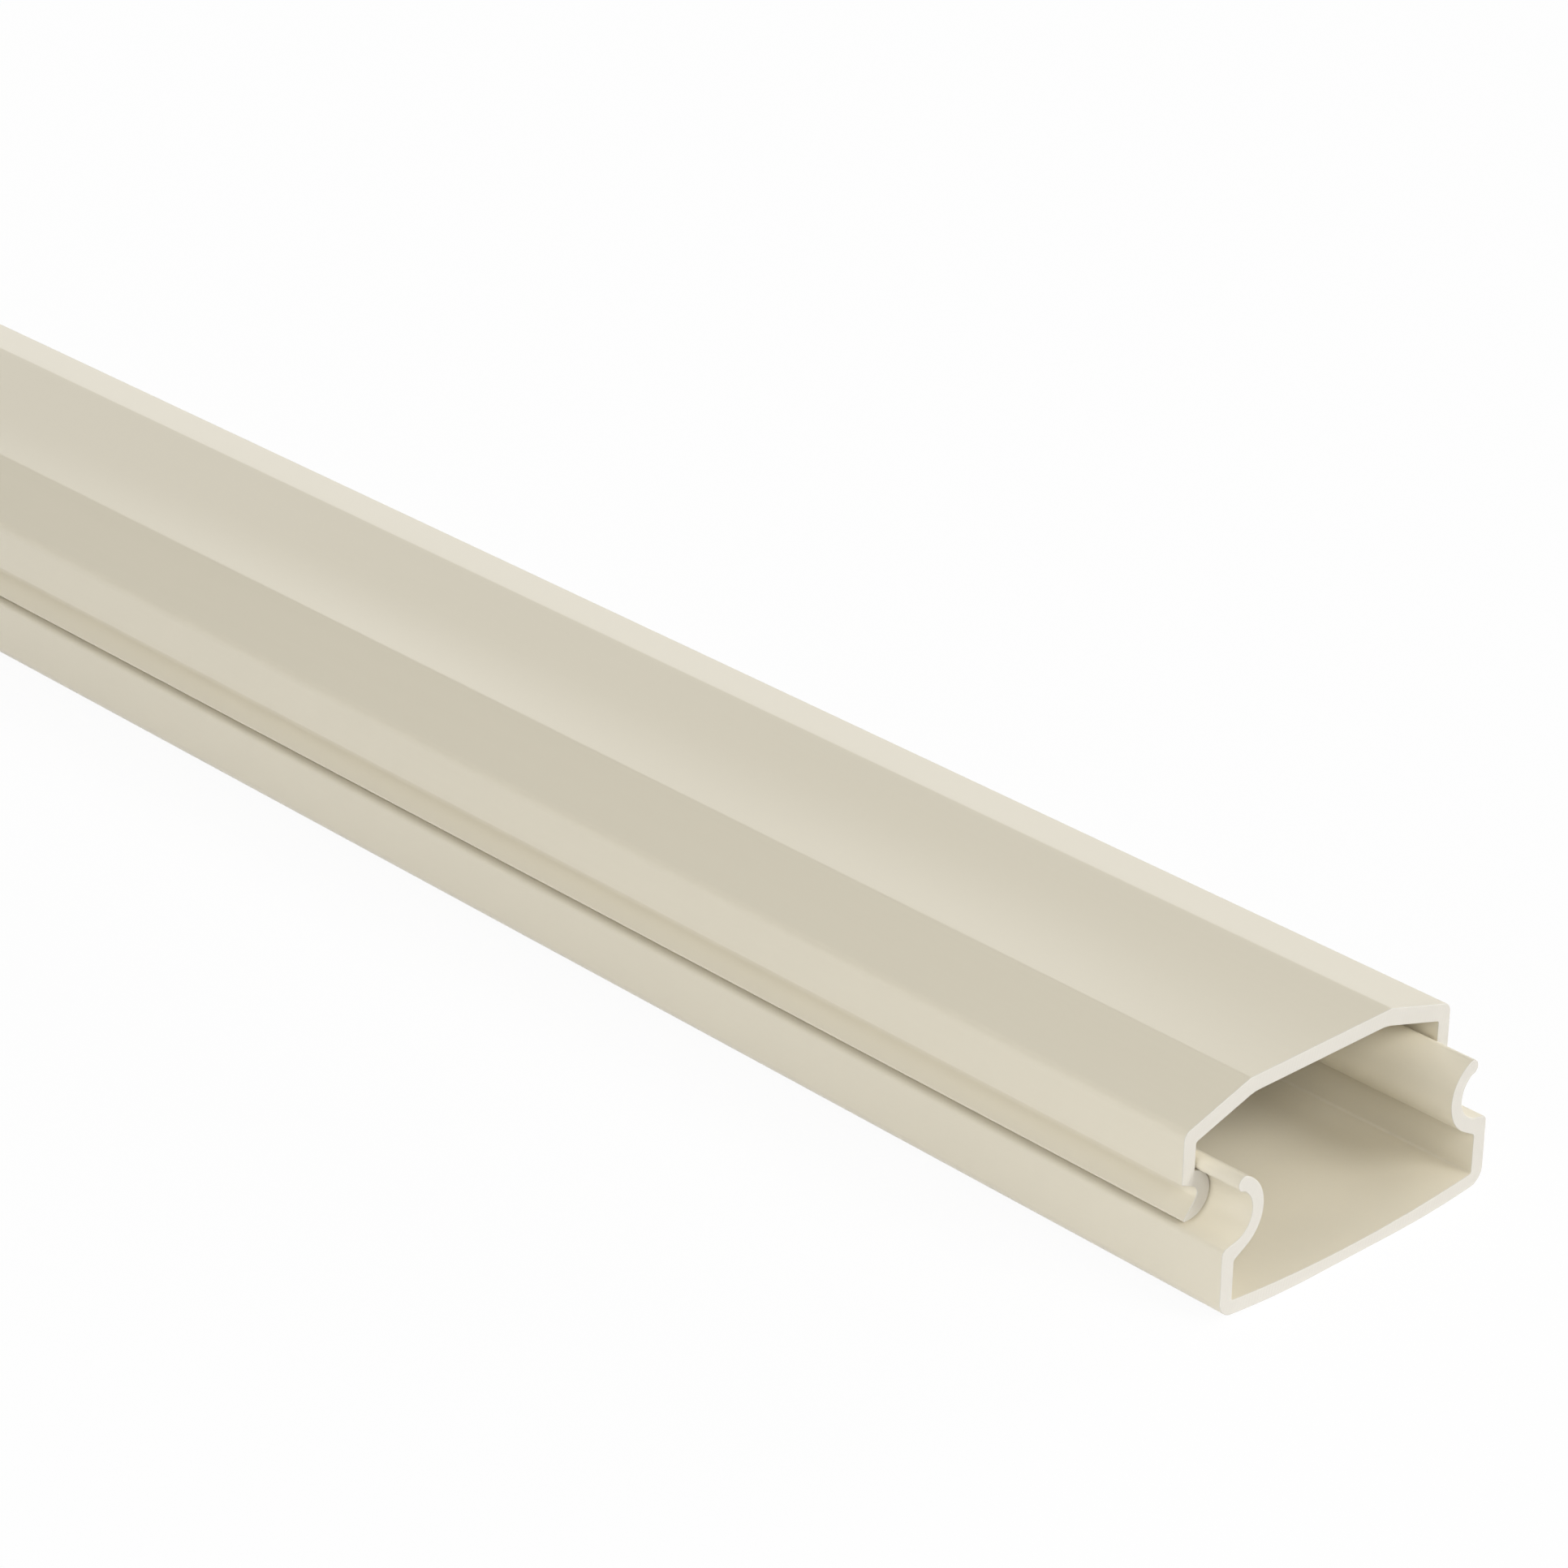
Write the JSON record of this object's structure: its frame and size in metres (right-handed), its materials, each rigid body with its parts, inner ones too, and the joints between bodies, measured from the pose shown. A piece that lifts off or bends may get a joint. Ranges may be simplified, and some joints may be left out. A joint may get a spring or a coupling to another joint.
{
  "type": "cord cover raceway",
  "caption": "PVC surface raceway: a channel that fixes to a wall and a clip-on cover whose hooks nest in its curled lips, hiding cords in the duct between.",
  "frame": {"origin": "middle of the flat strip on the base channel's back, where the raceway lies against the wall", "axes": "+X along the raceway, towards the end where the base stands out past the cover; +Y across it; +Z out from the wall, towards the cover"},
  "size_m": [0.4048, 0.0334, 0.0186],
  "materials": {
    "ivory_pvc": "satin extruded rigid PVC, ivory"
  },
  "bodies": {
    "base": {"base_channel": "ivory_pvc"},
    "cover": {"snap_cover": "ivory_pvc"}
  },
  "joints": [
    {"name": "cover_slide", "type": "slide", "parent": "base", "child": "cover", "axis": [1, 0, 0], "range_m": [-0.4, 0.00475]}
  ]
}
